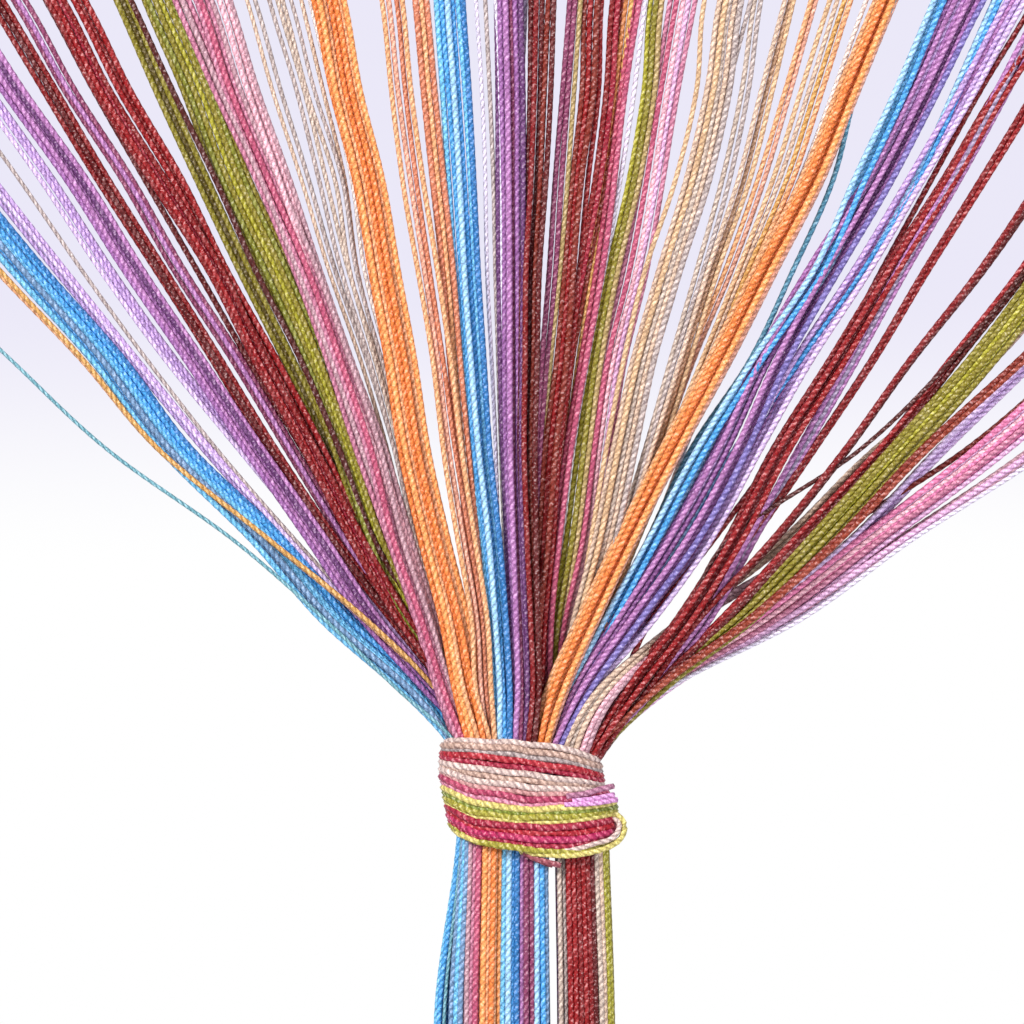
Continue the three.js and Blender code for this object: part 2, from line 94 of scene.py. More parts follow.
# ---- clumps of string, left to right along the heading ---------------------------------------
# Each has a family of colour and a digit for each string's shade in it, the gap between its
# strings high up and low down, where its middle lies (x) at each of LEVELS, where it enters the
# tie (x_in, y_waist) and where it lies below the tie (x, y).
LEVELS = (-517.5, -537.5, -560.0, -582.5, -605.0, -627.5, -650.0, -670.0, -687.5, -697.0)
COLUMNS = ("name", "n", "family", "shades", "gap_high", "gap_low") + LEVELS + ("x_in", "y_waist", "x_tail", "y_tail")
CLUMPS = [
    ("teal_edge", 1, "blue", "7", 1, 1, -208.2, -192.6, -173.6, -152.6, -129.0, -104.8, -73.5, -50.5, -32.2, -24.0, -20.6, -4.0, -23.2, -5.5),
    ("edge_orange", 2, "orange", "46", 0.9, 0.7, -185.1, -169.9, -151.8, -132.4, -111.2, -92.0, -64.5, -40.4, -23.4, -19.4, -18.4, 4.4, -18.5, 2.5),
    ("blue_low", 5, "blue", "06160", 1, 0.8, -178.2, -163.5, -146.0, -127.2, -107.2, -90.0, -67.4, -49.9, -30.1, -22.6, -20.4, -1.5, -19.2, -6.8),
    ("blue_high", 5, "blue", "01012", 1, 0.8, -172.0, -157.8, -140.9, -122.6, -102.9, -86.0, -62.6, -45.4, -26.5, -20.6, -19.2, 3.0, -21.8, -3.4),
    ("lilac_line", 3, "purple", "141", 1.4, 1.1, -165.7, -151.8, -134.9, -117.0, -98.6, -80.1, -59.8, -41.2, -24.6, -17.6, -15.6, 4.0, -16.0, 4.4),
    ("grey_line", 1, "beige", "1", 1, 1, -157.6, -143.9, -127.4, -111.4, -95.1, -77.7, -58.2, -39.9, -24.1, -15.5, -14.3, 2.0, -14.2, 1.6),
    ("lilac_three", 3, "purple", "411", 1.7, 1.3, -149.6, -136.0, -120.1, -105.4, -89.3, -71.0, -52.5, -37.0, -23.4, -15.9, -14.6, 5.6, -14.0, 5.6),
    ("purple_left", 5, "purple", "03023", 1.35, 1, -141.7, -128.8, -112.9, -98.7, -83.3, -68.4, -52.8, -39.3, -24.0, -14.5, -13.3, 1.6, -12.6, 1.0),
    ("maroon_a", 3, "red", "020", 1.6, 0.95, -131.6, -119.7, -106.3, -92.0, -77.8, -63.9, -48.7, -33.3, -19.6, -12.4, -11.4, 4.0, -10.6, 3.4),
    ("plum_three", 3, "purple", "737", 1.5, 1, -125.8, -114.7, -100.0, -87.1, -72.7, -59.4, -45.8, -32.7, -19.1, -10.9, -10.0, 6.2, -9.4, 6.2),
    ("dark_single", 1, "red", "2", 1, 1, -119.1, -108.6, -95.8, -82.9, -70.0, -56.5, -44.0, -31.9, -18.5, -10.4, -9.6, 2.6, -8.0, 2.0),
    ("red_four", 4, "red", "0130", 1.3, 1, -116.6, -106.4, -92.6, -78.4, -67.0, -54.5, -42.7, -30.9, -17.7, -9.9, -9.1, 0.2, -7.4, 0.8),
    ("red_three", 3, "red", "101", 1.3, 1, -110.8, -100.8, -87.6, -76.4, -63.8, -52.0, -41.5, -29.9, -16.7, -8.9, -8.2, 3.6, -6.4, 3.4),
    ("olive_three", 3, "olive", "020", 1.5, 1.2, -100.3, -91.6, -81.3, -71.0, -60.0, -49.6, -40.4, -29.3, -16.0, -7.9, -7.3, 6.6, -5.6, 6.6),
    ("brown_single", 1, "red", "6", 1, 1, -98.2, -88.9, -78.0, -68.1, -56.9, -47.2, -38.5, -26.2, -13.7, -7.3, -6.7, 4.2, -4.8, 4.2),
    ("olive_six", 7, "olive", "0501050", 1.38, 1.15, -91.0, -82.2, -73.7, -62.9, -53.0, -44.9, -37.4, -28.0, -14.5, -6.9, -6.3, 1.6, -4.2, 2.4),
    ("mauve_pair", 3, "pink", "171", 1.6, 1.1, -85.5, -76.8, -66.4, -57.2, -48.8, -41.4, -33.6, -27.0, -21.6, -19.6, -18.4, -4.2, -14.8, -6.6),
    ("pink_four", 4, "pink", "1317", 1.3, 1.05, -80.1, -73.7, -64.3, -54.6, -46.4, -38.6, -32.9, -26.0, -20.5, -18.3, -17.0, -5.4, -13.4, -7.2),
    ("pale_pink", 3, "pink", "227", 1.3, 1.2, -74.8, -68.7, -60.8, -53.5, -45.7, -37.1, -30.2, -24.0, -19.1, -17.3, -15.9, -3.8, -13.6, -3.4),
    ("grey_a", 2, "beige", "01", 1.9, 1.4, -68.7, -63.0, -55.7, -48.9, -41.0, -34.2, -28.5, -21.7, -11.7, -5.6, -5.2, 5.6, -3.0, 5.6),
    ("grey_b", 2, "beige", "14", 2.2, 1.4, -63.1, -57.0, -51.3, -45.8, -38.8, -32.6, -27.3, -20.7, -10.7, -4.6, -4.2, 2.6, -2.4, 2.6),
    ("grey_c", 2, "beige", "41", 2, 1.4, -59.5, -54.4, -47.4, -43.9, -37.5, -31.4, -26.4, -19.9, -10.0, -3.8, -3.5, -0.8, -1.8, -0.6),
    ("grey_d", 2, "beige", "02", 2, 1.4, -55.1, -50.5, -45.3, -42.1, -36.1, -30.3, -25.5, -19.2, -9.4, -3.3, -3.0, 6.8, -1.2, 6.8),
    ("pale_orange", 7, "orange", "1041140", 1.25, 1.1, -49.1, -45.5, -39.9, -36.1, -32.0, -28.5, -23.3, -18.2, -14.9, -14.3, -13.2, -7.2, -9.8, -7.4),
    ("orange_four", 4, "orange", "4374", 1.75, 1.3, -33.8, -31.9, -28.8, -25.1, -21.6, -18.7, -15.2, -12.1, -11.1, -11.2, -10.3, -7.2, -9.0, -4.4),
    ("orange_pair", 3, "orange", "747", 1.5, 1.2, -26.5, -24.7, -22.4, -20.0, -18.3, -16.3, -13.9, -11.5, -10.1, -10.0, -9.2, -4.8, -7.8, -2.8),
    ("blue_mid", 6, "blue", "014102", 1.3, 0.8, -19.3, -17.9, -16.6, -15.3, -13.6, -11.9, -9.4, -7.7, -6.6, -6.8, -6.3, -7.2, -4.4, -7.2),
    ("white_lilac", 3, "beige", "616", 2.2, 1.3, -10.6, -9.7, -8.8, -8.2, -7.3, -6.5, -5.8, -5.0, -4.6, -4.5, -4.1, -3.6, -1.0, -2.8),
    ("purple_mid", 6, "purple", "203702", 1.25, 0.85, -5.0, -4.6, -4.4, -4.2, -4.1, -3.9, -3.2, -2.5, -2.1, -2.3, -1.9, -7.2, -1.0, -6.4),
    ("purple_grey", 1, "purple", "6", 1, 1, -0.9, -1.7, -2.2, -2.2, -2.3, -2.2, -2.0, -1.7, -1.4, -1.3, -1.2, -4.2, 0.6, -4.0),
    ("maroon_mid", 5, "red", "20242", 1.45, 0.5, 3.6, 3.0, 2.0, 0.6, 0.2, -0.2, 0.4, 1.2, 1.7, 1.4, 2.0, -7.2, 0.6, -4.6),
    ("plum_pair", 2, "purple", "77", 1.5, 1.2, 10.8, 9.3, 7.6, 6.1, 4.1, 2.5, 1.9, 1.2, 1.4, 1.5, 1.5, -3.4, 0.4, -7.8),
    ("khaki_single", 1, "olive", "4", 1, 1, 12.8, 11.5, 10.0, 8.3, 6.0, 4.2, 2.9, 2.1, 2.2, 2.3, 2.3, 1.8, 2.4, 5.6),
    ("brown_four", 4, "red", "4141", 1.3, 1.1, 16.2, 15.5, 12.9, 11.0, 9.0, 6.2, 4.6, 2.5, 1.8, 2.7, 2.7, -4.2, 3.0, -0.8),
    ("crimson_pair", 3, "red", "034", 1.3, 1.1, 22.3, 21.0, 18.0, 13.8, 10.0, 7.3, 5.3, 4.5, 4.0, 3.8, 3.8, 1.2, 4.0, 2.4),
    ("gold_pair", 2, "orange", "56", 1.5, 1.2, 24.7, 22.3, 19.2, 15.6, 11.9, 8.8, 6.2, 4.6, 4.2, 4.2, 4.2, 4.2, 3.4, 6.4),
    ("pink_red", 2, "pink", "53", 1.4, 1.2, 26.9, 24.1, 21.0, 17.6, 13.8, 10.2, 7.3, 5.3, 4.7, 4.7, 4.7, 0.2, 4.4, 4.6),
    ("lilac_white", 1, "beige", "6", 1, 1, 28.9, 26.2, 22.9, 19.3, 15.2, 11.1, 8.4, 7.1, 6.0, 5.3, 5.3, 6.4, 3.6, 7.4),
    ("khaki_pair", 3, "olive", "104", 1.4, 1.2, 31.8, 30.4, 26.6, 21.2, 17.0, 13.9, 11.0, 7.7, 6.1, 6.0, 6.0, 3.6, 3.0, 6.2),
    ("pink_five", 5, "pink", "13261", 1.55, 1.2, 38.3, 34.9, 31.1, 26.7, 21.3, 18.0, 15.0, 10.6, 7.8, 7.0, 7.0, 5.6, 2.2, 4.6),
    ("beige_single", 1, "beige", "3", 1, 1, 43.8, 41.9, 36.5, 29.1, 24.0, 19.7, 15.8, 12.5, 9.7, 8.1, 8.1, 2.4, 1.4, 3.0),
    ("beige_four", 5, "beige", "03401", 1.45, 1.2, 50.2, 47.7, 42.6, 35.5, 28.9, 24.0, 19.2, 13.8, 10.1, 8.8, 8.8, 0.4, 9.4, -1.0),
    ("grey_single", 1, "beige", "1", 1, 1, 55.1, 49.7, 43.3, 38.3, 31.6, 25.4, 20.1, 15.7, 11.8, 9.6, 9.6, 5.0, 8.2, -6.0),
    ("grey_pair", 2, "beige", "41", 1.5, 1.2, 56.9, 54.2, 49.5, 43.2, 36.3, 29.6, 22.6, 16.0, 11.7, 10.1, 10.1, 2.0, 9.0, -7.4),
    ("beige_three", 3, "beige", "073", 1.3, 1.2, 64.6, 59.8, 54.2, 46.4, 39.3, 32.3, 24.7, 17.7, 12.7, 10.6, 10.6, -0.8, 9.4, -4.4),
    ("peach_pair", 2, "orange", "43", 1.5, 1.2, 70.8, 65.0, 58.2, 50.2, 40.9, 33.0, 25.2, 17.9, 13.1, 11.1, 11.1, 5.4, 1.0, 7.0),
    ("beige_pair", 2, "beige", "30", 1.5, 1.2, 75.7, 69.3, 61.9, 53.0, 44.0, 35.0, 26.0, 18.5, 13.5, 11.4, 11.4, 2.8, 0.0, 4.0),
    ("gold_two", 2, "orange", "64", 1.5, 1.2, 79.2, 72.8, 65.4, 55.7, 46.6, 36.7, 26.7, 19.1, 14.1, 11.9, 11.9, 0.4, -1.0, 5.4),
    ("beige_last", 1, "beige", "2", 1, 1, 83.7, 76.7, 68.0, 57.9, 48.1, 39.1, 30.4, 22.7, 15.9, 12.2, 12.2, 6.8, -2.0, 6.4),
    ("right_orange", 7, "orange", "4010103", 0.85, 0.85, 88.5, 80.3, 71.0, 59.2, 47.8, 35.8, 24.4, 14.9, 7.1, 4.1, 3.4, -6.9, 5.0, 1.6),
    ("teal_pair", 1, "blue", "3", 1.3, 0.9, 91.0, 82.6, 76.4, 66.4, 55.6, 40.4, 29.6, 20.5, 11.8, 7.2, 7.2, -1.6, 3.4, -1.0),
    ("light_blue", 5, "blue", "41016", 0.9, 0.8, 102.0, 93.5, 83.4, 73.4, 57.6, 43.4, 31.6, 20.8, 12.0, 8.3, 5.6, -4.4, 3.2, -7.2),
    ("purple_three", 4, "purple", "0310", 1.3, 0.8, 106.1, 96.7, 85.4, 71.5, 58.6, 48.0, 35.6, 22.8, 11.8, 6.4, 5.8, -5.6, 2.0, -1.6),
    ("purple_four", 4, "purple", "3205", 1.25, 0.8, 110.8, 101.2, 89.4, 76.1, 63.5, 53.1, 40.7, 26.6, 14.4, 8.0, 6.9, -7.3, 0.6, -4.2),
    ("sky_single", 2, "blue", "41", 1.2, 1, 116.0, 107.1, 96.9, 83.4, 67.8, 52.3, 38.8, 26.5, 15.7, 9.8, 9.8, -3.4, 4.4, 3.4),
    ("lilac_right", 4, "purple", "1314", 1.4, 1.15, 120.7, 110.0, 96.8, 83.4, 68.7, 56.1, 43.9, 29.6, 15.0, 9.4, 8.0, -2.6, 8.2, 1.0),
    ("red_single_a", 1, "red", "02", 1, 1, 125.3, 113.1, 100.8, 88.6, 76.8, 62.6, 46.1, 30.6, 22.6, 16.6, 15.6, -3.4, 12.0, -0.6),
    ("lilac_three_r", 3, "purple", "363", 1.35, 1, 129.1, 118.6, 106.4, 93.4, 81.1, 68.5, 55.9, 44.6, 30.6, 24.4, 14.4, 1.4, 16.4, 5.0),
    ("red_right", 5, "red", "01001", 0.68, 1.05, 132.0, 118.6, 105.4, 90.8, 77.2, 63.2, 51.6, 38.9, 25.4, 20.4, 17.0, -2.8, 12.8, -7.7),
    ("red_single_b", 2, "red", "01", 1.2, 1.1, 137.4, 127.3, 113.7, 99.6, 86.2, 71.2, 55.7, 41.0, 29.0, 22.5, 17.4, -2.0, 15.8, -7.4),
    ("red_single_c", 2, "red", "02", 1.2, 1.1, 151.7, 141.0, 128.7, 113.6, 95.9, 79.4, 61.2, 42.9, 30.4, 24.0, 17.6, -1.2, 17.4, -6.6),
    ("stray_brown", 1, "red", "6", 1, 1, 165.4, 153.0, 139.1, 124.3, 105.8, 82.6, 50.0, 39.3, 28.5, 19.4, 13.6, 1.0, 12.6, -2.6),
    ("red_over_olive", 3, "red", "102", 1.3, 0.9, 165.4, 153.0, 139.1, 124.3, 106.5, 88.6, 67.4, 48.8, 30.2, 24.0, 14.6, 1.0, 15.2, -1.0),
    ("olive_right", 9, "olive", "010110110", 1.1, 0.72, 169.7, 158.9, 145.5, 130.5, 113.4, 93.6, 73.2, 53.2, 31.0, 22.4, 12.4, 3.4, 20.6, -3.8),
    ("cream_brown", 3, "beige", "040", 0.9, 1.1, 179.2, 167.2, 152.3, 135.4, 116.0, 87.6, 64.6, 39.2, 18.4, 10.8, 10.0, -7.0, 19.2, -5.2),
    ("pink_beige", 3, "pink", "727", 0.9, 1.1, 183.5, 170.6, 154.5, 136.2, 115.0, 94.4, 73.4, 41.4, 21.2, 14.4, 13.4, -5.6, 16.4, 0.0),
    ("mauve_right", 2, "red", "45", 1.4, 1.2, 193.1, 180.2, 164.0, 145.7, 123.2, 98.8, 77.4, 55.3, 31.4, 20.5, 13.6, 1.8, 16.6, 0.6),
    ("lilac_far", 3, "purple", "414", 1.5, 1.2, 198.2, 184.6, 167.7, 148.4, 126.0, 103.2, 81.4, 56.9, 31.2, 21.5, 13.2, 4.8, 16.6, 4.8),
    ("pink_right", 10, "pink", "0602061006", 1.45, 0.75, 211.0, 197.4, 180.7, 162.0, 140.7, 115.8, 86.5, 60.6, 31.8, 22.6, 11.4, 4.8, 16.2, 3.4),
    ("brown_single_r", 1, "red", "4", 1, 1, 211.0, 196.4, 178.5, 158.5, 135.9, 109.7, 74.8, 49.9, 30.4, 21.0, 13.4, 5.8, 16.0, -2.0),
    ("beige_low", 3, "pink", "762", 1.4, 0.8, 228.3, 213.9, 196.1, 176.1, 153.3, 126.8, 93.9, 64.2, 33.2, 23.8, 12.4, 6.2, 17.0, 4.4),
    ("lilac_lowest", 2, "beige", "66", 1.6, 0.9, 234.9, 220.1, 201.7, 181.1, 157.5, 130.0, 95.4, 67.6, 34.2, 25.0, 13.2, 5.4, 17.2, 6.2),
]

# Eight shades of each family, as sRGB hex, numbered 0 to 7 in the table above.
FAMILIES = {
    "blue": ["6ab8e4", "489edf", "2c74b4", "4c8aa4", "98c8ea", "7488cc", "6c90b6", "68a0ae"],
    "orange": ["ee9c58", "e8803c", "dc6a2c", "dca088", "dca070", "b87038", "cc9a54", "c87858"],
    "purple": ["9a62a2", "bc9cd4", "66386e", "aa70aa", "d0b8e4", "7468ac", "9484a2", "84385e"],
    "red": ["7e080e", "920e14", "5c0408", "98142e", "7c200f", "903620", "4e120e", "b4344c"],
    "pink": ["dc7aa6", "c07894", "e6b0be", "b65070", "dc8484", "ac405c", "d8aad0", "b48c98"],
    "olive": ["867c20", "a8a22a", "5a4c12", "c8be68", "a8905c", "7c7e24", "b49a60", "d8cc90"],
    "beige": ["cdb29c", "b0a29e", "e6dad2", "d0ac84", "bcaa9c", "947e6e", "dcd4e8", "bc9474"],
}


# ---- small helpers ---------------------------------------------------------------------------
def mix(a, b, t):
    return a + (b - a) * t


def ease(t):
    t = np.clip(t, 0.0, 1.0)
    return t * t * (3 - 2 * t)


def wave_y(x, z):
    down = ease((-z - HEADING_FLAT) / (HEADING_HEIGHT - HEADING_FLAT))
    return HEADING_WAVE * down * np.sin(2 * np.pi * HEADING_WAVES * x / HEADING_WIDTH + 0.8)


def through(knots_z, knots_v, z):
    """Smooth curve through knots, z falling. At the second it keeps the way it has below that."""
    kz, kv = np.asarray(knots_z, float), np.asarray(knots_v, float)
    slope = np.empty_like(kv)
    slope[1:-1] = (kv[2:] - kv[:-2]) / (kz[2:] - kz[:-2])
    slope[1] = (kv[3] - kv[1]) / (kz[3] - kz[1])
    slope[0] = (kv[1] - kv[0]) / (kz[1] - kz[0])
    slope[-1] = (kv[-1] - kv[-2]) / (kz[-1] - kz[-2])
    i = np.clip(np.searchsorted(-kz, -z, side="right") - 1, 0, len(kz) - 2)
    h = kz[i + 1] - kz[i]
    t = np.clip((z - kz[i]) / h, 0, 1)
    return (
        (2 * t**3 - 3 * t**2 + 1) * kv[i]
        + (t**3 - 2 * t**2 + t) * h * slope[i]
        + (3 * t**2 - 2 * t**3) * kv[i + 1]
        + (t**3 - t**2) * h * slope[i + 1]
    )


def lean(z):
    """Middle (x) of the bundle inside the tie: it leans to the left at the top."""
    return TIE_MIDDLE - TIE_LEAN * np.clip((z - (TIE_TOP - 15)) / 12.0, -1, 1)


def outline(a, more):
    """Point of the bundle's outline at angle a, grown outwards by more. a = 0 is right."""
    c, s = np.cos(a), np.sin(a)
    r = (np.abs(c / BUNDLE_X) ** BUNDLE_POWER + np.abs(s / BUNDLE_Y) ** BUNDLE_POWER) ** (-1 / BUNDLE_POWER)
    x, y = r * c, r * s
    nx = np.sign(c) * np.abs(x / BUNDLE_X) ** (BUNDLE_POWER - 1) / BUNDLE_X
    ny = np.sign(s) * np.abs(y / BUNDLE_Y) ** (BUNDLE_POWER - 1) / BUNDLE_Y
    n = np.hypot(nx, ny)
    return x + nx / n * more, y + ny / n * more


def tie_front(a):
    return np.maximum(0, -np.sin(a)) ** 1.5


def tie_top(a):
    return TIE_TOP - 2.6 - 3.2 * np.cos(a) + 3.2 * tie_front(a)


def tie_bottom(a):
    return TIE_TOP - 23.6 - 2.0 * np.cos(a) - 5.4 * tie_front(a)


def linear(code):
    """sRGB hex to linear RGBA."""
    c = np.array([int(code[i : i + 2], 16) for i in (0, 2, 4)]) / 255
    return tuple(np.where(c <= 0.04045, c / 12.92, ((c + 0.055) / 1.055) ** 2.4)) + (1.0,)


def packed(target, half, apart, middle=0.0, slot=None, rounds=260):
    """Strings' places across a bundle: near their targets, apart from one another and inside its
    outline. slot = (x from, x to) is kept clear."""
    target = target - [middle, 0.0]
    p = target.copy()
    for k in range(rounds):
        p += (target - p) * (0.05 if k < rounds * 0.7 else 0.012)
        d = p[:, None] - p[None, :]
        far = np.hypot(d[..., 0], d[..., 1]) + 1e-9
        push = np.clip(apart - far, 0, None) * 0.42
        np.fill_diagonal(push, 0)
        p += (d / far[..., None] * push[..., None]).sum(1).clip(-0.7, 0.7)
        r = (np.abs(p[:, 0] / half[0]) ** BUNDLE_POWER + np.abs(p[:, 1] / half[1]) ** BUNDLE_POWER) ** (1 / BUNDLE_POWER)
        p /= np.maximum(r, 1)[:, None]
        if slot is not None:
            a, b = slot[0] - middle, slot[1] - middle
            left = target[:, 0] < (a + b) / 2
            p[left, 0] = np.minimum(p[left, 0], a)
            p[~left, 0] = np.maximum(p[~left, 0], b)
    return p + [middle, 0.0]


# ---- every string: which clump, lane, family and shade -------------------------------------------
rng = np.random.RandomState(7)
rows = [dict(zip(COLUMNS, row)) for row in CLUMPS]
COUNT = sum(row["n"] for row in rows)
strings = []
for row in rows:
    for k in range(row["n"]):
        strings.append({"row": row, "lane": k - (row["n"] - 1) / 2, "shade": int(row["shades"][k % len(row["shades"])]), "order": len(strings)})

lane = np.array([s["lane"] for s in strings])
depth_step = np.array([[0.0, 1.3, 2.6][s["order"] % 3] for s in strings])


# clumps drawn closer together than the others where they enter the tie
NARROW = {"right_orange": 0.45, "maroon_mid": 0.3, "purple_mid": 0.75, "blue_mid": 0.75, "purple_three": 0.8, "purple_four": 0.66,
          "orange_four": 0.7, "orange_pair": 0.7, "pale_orange": 0.8}
NARROW_TAIL = {"blue_mid": 0.45, "purple_mid": 0.6, "maroon_mid": 0.32, "light_blue": 0.5, "pale_orange": 0.5, "red_right": 0.9, "mauve_pair": 0.7,
               "pink_four": 0.6, "olive_right": 0.5}
narrow, narrow_tail = (np.array([by.get(s["row"]["name"], 1.0) for s in strings]) for by in (NARROW, NARROW_TAIL))


def targets(x_name, y_name, narrow=1.0):
    """Where each string would lie. Clumps at the front lie side by side, those within in a heap."""
    x, y = (np.array([s["row"][name] for s in strings]) for name in (x_name, y_name))
    front = y < -5.1
    return np.stack([x + lane * narrow * np.where(front, 1.15, 0.62), y + depth_step * np.where(front, 0.3, np.where(y < 0, 1.0, -1.0))], 1)


WAIST = packed(targets("x_in", "y_waist", narrow), (BUNDLE_X - 0.8, BUNDLE_Y - 0.8), 1.42, middle=lean(TIE_TOP - 3))
TAIL = packed(targets("x_tail", "y_tail", narrow_tail), (22.0, 8.7), 1.42, middle=-0.9, slot=(4.6, 8.0))
LATE = ("cream_brown", "pink_beige")     # clumps that come forward only just above the tie
# clumps that lie in front of their neighbours on the way down: how far, and until what share of it
FORWARD = {"lilac_three_r": (2.2, 0.85), "olive_right": (2.6, 0.935), "edge_orange": (6.0, 0.955), "brown_single": (2.8, 0.95),
           "mauve_right": (3.4, 0.975)}


def inside_tie(x):
    """Where a string that hangs at x below the tie lies within it: the left side is drawn in."""
    return x * 0.925 + max(0.0, -16.0 - x) * 0.62


# ---- routes ------------------------------------------------------------------------------------
def route(s):
    """Points of one string, heading to cut end, spaced STEP apart, in mm."""
    row, i = s["row"], s["order"]
    x_top = (i + 0.5 - COUNT / 2) * STRING_PITCH
    z_top = -HEADING_HEIGHT + 0.6
    r = np.random.RandomState(100 + i)
    own, tail = WAIST[i], TAIL[i]
    z_in = float(tie_top(math.atan2(own[1], own[0] - lean(TIE_TOP - 3)))) - 0.8
    cut_z = z_in - 12.0

    # heading to the middle of the tie
    z = np.arange(z_top, cut_z, -0.35)
    levels = np.array(LEVELS)
    clump_x = np.array([row[level] for level in LEVELS])
    gap = np.interp(-levels, [-LEVELS[0], 685.0], [row["gap_high"], row["gap_low"]])
    knots_x = clump_x + s["lane"] * gap
    held = inside_tie(tail[0])
    knots_z = np.concatenate([[z_top], levels[:-1], [z_in, z_in - 6.0, cut_z - 4.0]])
    knots_x = np.concatenate([[x_top], knots_x[:-1], [own[0], mix(own[0], held, 0.45), mix(own[0], held, 0.95)]])
    x = through(knots_z, knots_x, z)
    t = np.clip((z_top - z) / (z_top - z_in), 0, 1)
    y = mix(wave_y(x_top, -HEADING_HEIGHT), own[1], t ** 5.5)
    if row["name"] in LATE:
        behind = mix(wave_y(x_top, -HEADING_HEIGHT), 4.2, ease((t - 0.3) / 0.5))
        y = mix(behind, own[1], ease((t - 0.944) / 0.032))
    if row["name"] in FORWARD:
        much, until = FORWARD[row["name"]]
        y -= np.interp(t, [0.3, 0.7, until, until + 0.04], [0, much, much, 0])
    # a clump's strings lie in front of and behind one another where it is drawn in
    close = np.clip(1.45 - np.interp(-z, [-LEVELS[0], 685.0], [row["gap_high"], row["gap_low"]]), 0, 0.6)
    y += ((i * 2) % 3 - 1) * (0.35 + 1.5 * close) * np.interp(t, [0.35, 0.75, 0.9, 1.0], [0, 1, 1, 0])
    loose = np.interp(t, [0, 0.1, 0.9, 1], [0, 1, 0.6, 0])
    for _ in range(3):
        along, size = r.uniform(70, 260), r.uniform(0.10, 0.30)
        x += loose * size * np.sin(2 * np.pi * z / along + r.uniform(0, 6.3))
        y += loose * size * 0.8 * np.sin(2 * np.pi * z / along + r.uniform(0, 6.3))
    y = mix(y, tail[1] * 0.9, ease((z_in - z) / 16.0))
    upper = np.stack([x, y, z], 1)
    length = np.linalg.norm(np.diff(upper, axis=0), axis=1).sum()

    # on to the cut end
    left = STRING_LENGTH - length
    z = np.arange(cut_z - 0.35, cut_z - left - 60, -0.35)
    drop = np.clip((TAIL_Z - z) / 1190.0, 0, None)
    sway = 2.4 * np.sin(5.2 * drop + 0.1 * row["x_tail"]) * np.minimum(1, 3 * drop)
    below = ease((TIE_TOP - 17 - z) / 56.0)
    tail_x = mix(held, tail[0], below) * (1 + 0.34 * drop) + sway
    tail_y = tail[1] * mix(0.9, 1.0, below) * (1 + 0.34 * drop) - 0.6 * sway
    inside = ease((cut_z - z) / 9.0)
    x = mix(upper[-1, 0], tail_x, inside)
    y = mix(upper[-1, 1], tail_y, inside)
    free = np.interp(-z, [740, 900, 2000], [0, 1, 1.8])
    for _ in range(3):
        along, size = r.uniform(140, 420), r.uniform(0.2, 0.7)
        x += free * size * np.sin(2 * np.pi * z / along + r.uniform(0, 6.3))
        y += free * size * 0.6 * np.sin(2 * np.pi * z / along + r.uniform(0, 6.3))
    path = np.concatenate([upper, np.stack([x, y, z], 1)])
    run = np.concatenate([[0], np.cumsum(np.linalg.norm(np.diff(path, axis=0), axis=1))])
    length = STRING_LENGTH + r.uniform(-1.5, 1.5)
    at = np.arange(0, length, STEP)
    return np.stack([np.interp(at, run, path[:, k]) for k in range(3)], 1)


# ---- tubes of two twisted plies ------------------------------------------------------------------
def twisted(points, start, rings, shade, shades, size=1.0, side=(0.0, 1.0, 0.0), seam=60.0):
    """A string as rings of six points round its route, and its map. rings are the steps that
    carry a ring. The two plies make it wide and narrow by turns, a quarter turn each step. The
    map has a row for each of the shades and its seam lies at the angle seam, 0 being sideways
    and 90 towards side."""
    tangent = np.gradient(points, axis=0)
    tangent /= np.linalg.norm(tangent, axis=1)[:, None]
    b = np.cross(tangent, np.asarray(side, float))
    b /= np.linalg.norm(b, axis=1)[:, None]
    n = np.cross(b, tangent)
    step = start + np.arange(len(points))
    p, b, n, step = points[rings], b[rings], n[rings], step[rings]
    span = np.diff(rings)
    close = np.concatenate([[1], span]) == 1
    beat = np.where(close, PLY_BEAT * (1 - 2.0 * (step % 2)), 0.0) * size
    corner = np.arange(6) * np.pi / 3
    grown = PLY_RADIUS * size + beat[:, None] * np.cos(2 * corner)
    c, s = np.cos(corner + math.radians(seam)), np.sin(corner + math.radians(seam))
    ring = p[:, None] + grown[..., None] * (c[:, None] * b[:, None] + s[:, None] * n[:, None])
    verts = ring.reshape(-1, 3)
    m = len(rings)
    base = np.arange(m - 1)[:, None] * 6
    k = np.arange(6)
    nxt = (k + 1) % 6
    quads = np.stack([base + k, base + 6 + k, base + 6 + nxt, base + nxt], -1).reshape(-1, 4)
    u0 = (step[:-1] % TILE) / TILE
    u1 = u0 + span / TILE
    v0, v1 = (shade + 0.04 + 0.92 * k / 6) / shades, (shade + 0.04 + 0.92 * (k + 1) / 6) / shades
    u0, u1 = np.broadcast_to(u0[:, None], (m - 1, 6)), np.broadcast_to(u1[:, None], (m - 1, 6))
    v0, v1 = np.broadcast_to(v0, (m - 1, 6)), np.broadcast_to(v1, (m - 1, 6))
    uv = np.stack([np.stack([u0, v0], -1), np.stack([u1, v0], -1), np.stack([u1, v1], -1), np.stack([u0, v1], -1)], 2)
    # both ends closed
    last = (m - 1) * 6
    ends = np.array([[0, 1, 2, 3], [0, 3, 4, 5], [last + 3, last + 2, last + 1, last], [last + 5, last + 4, last + 3, last]])
    spot = np.array([[-0.004, -0.004], [0.004, -0.004], [0.004, 0.004], [-0.004, 0.004]]) + [0.5, (shade + 0.5) / shades]
    return verts, np.concatenate([quads, ends]), np.concatenate([uv.reshape(-1, 4, 2), np.tile(spot, (4, 1, 1))])


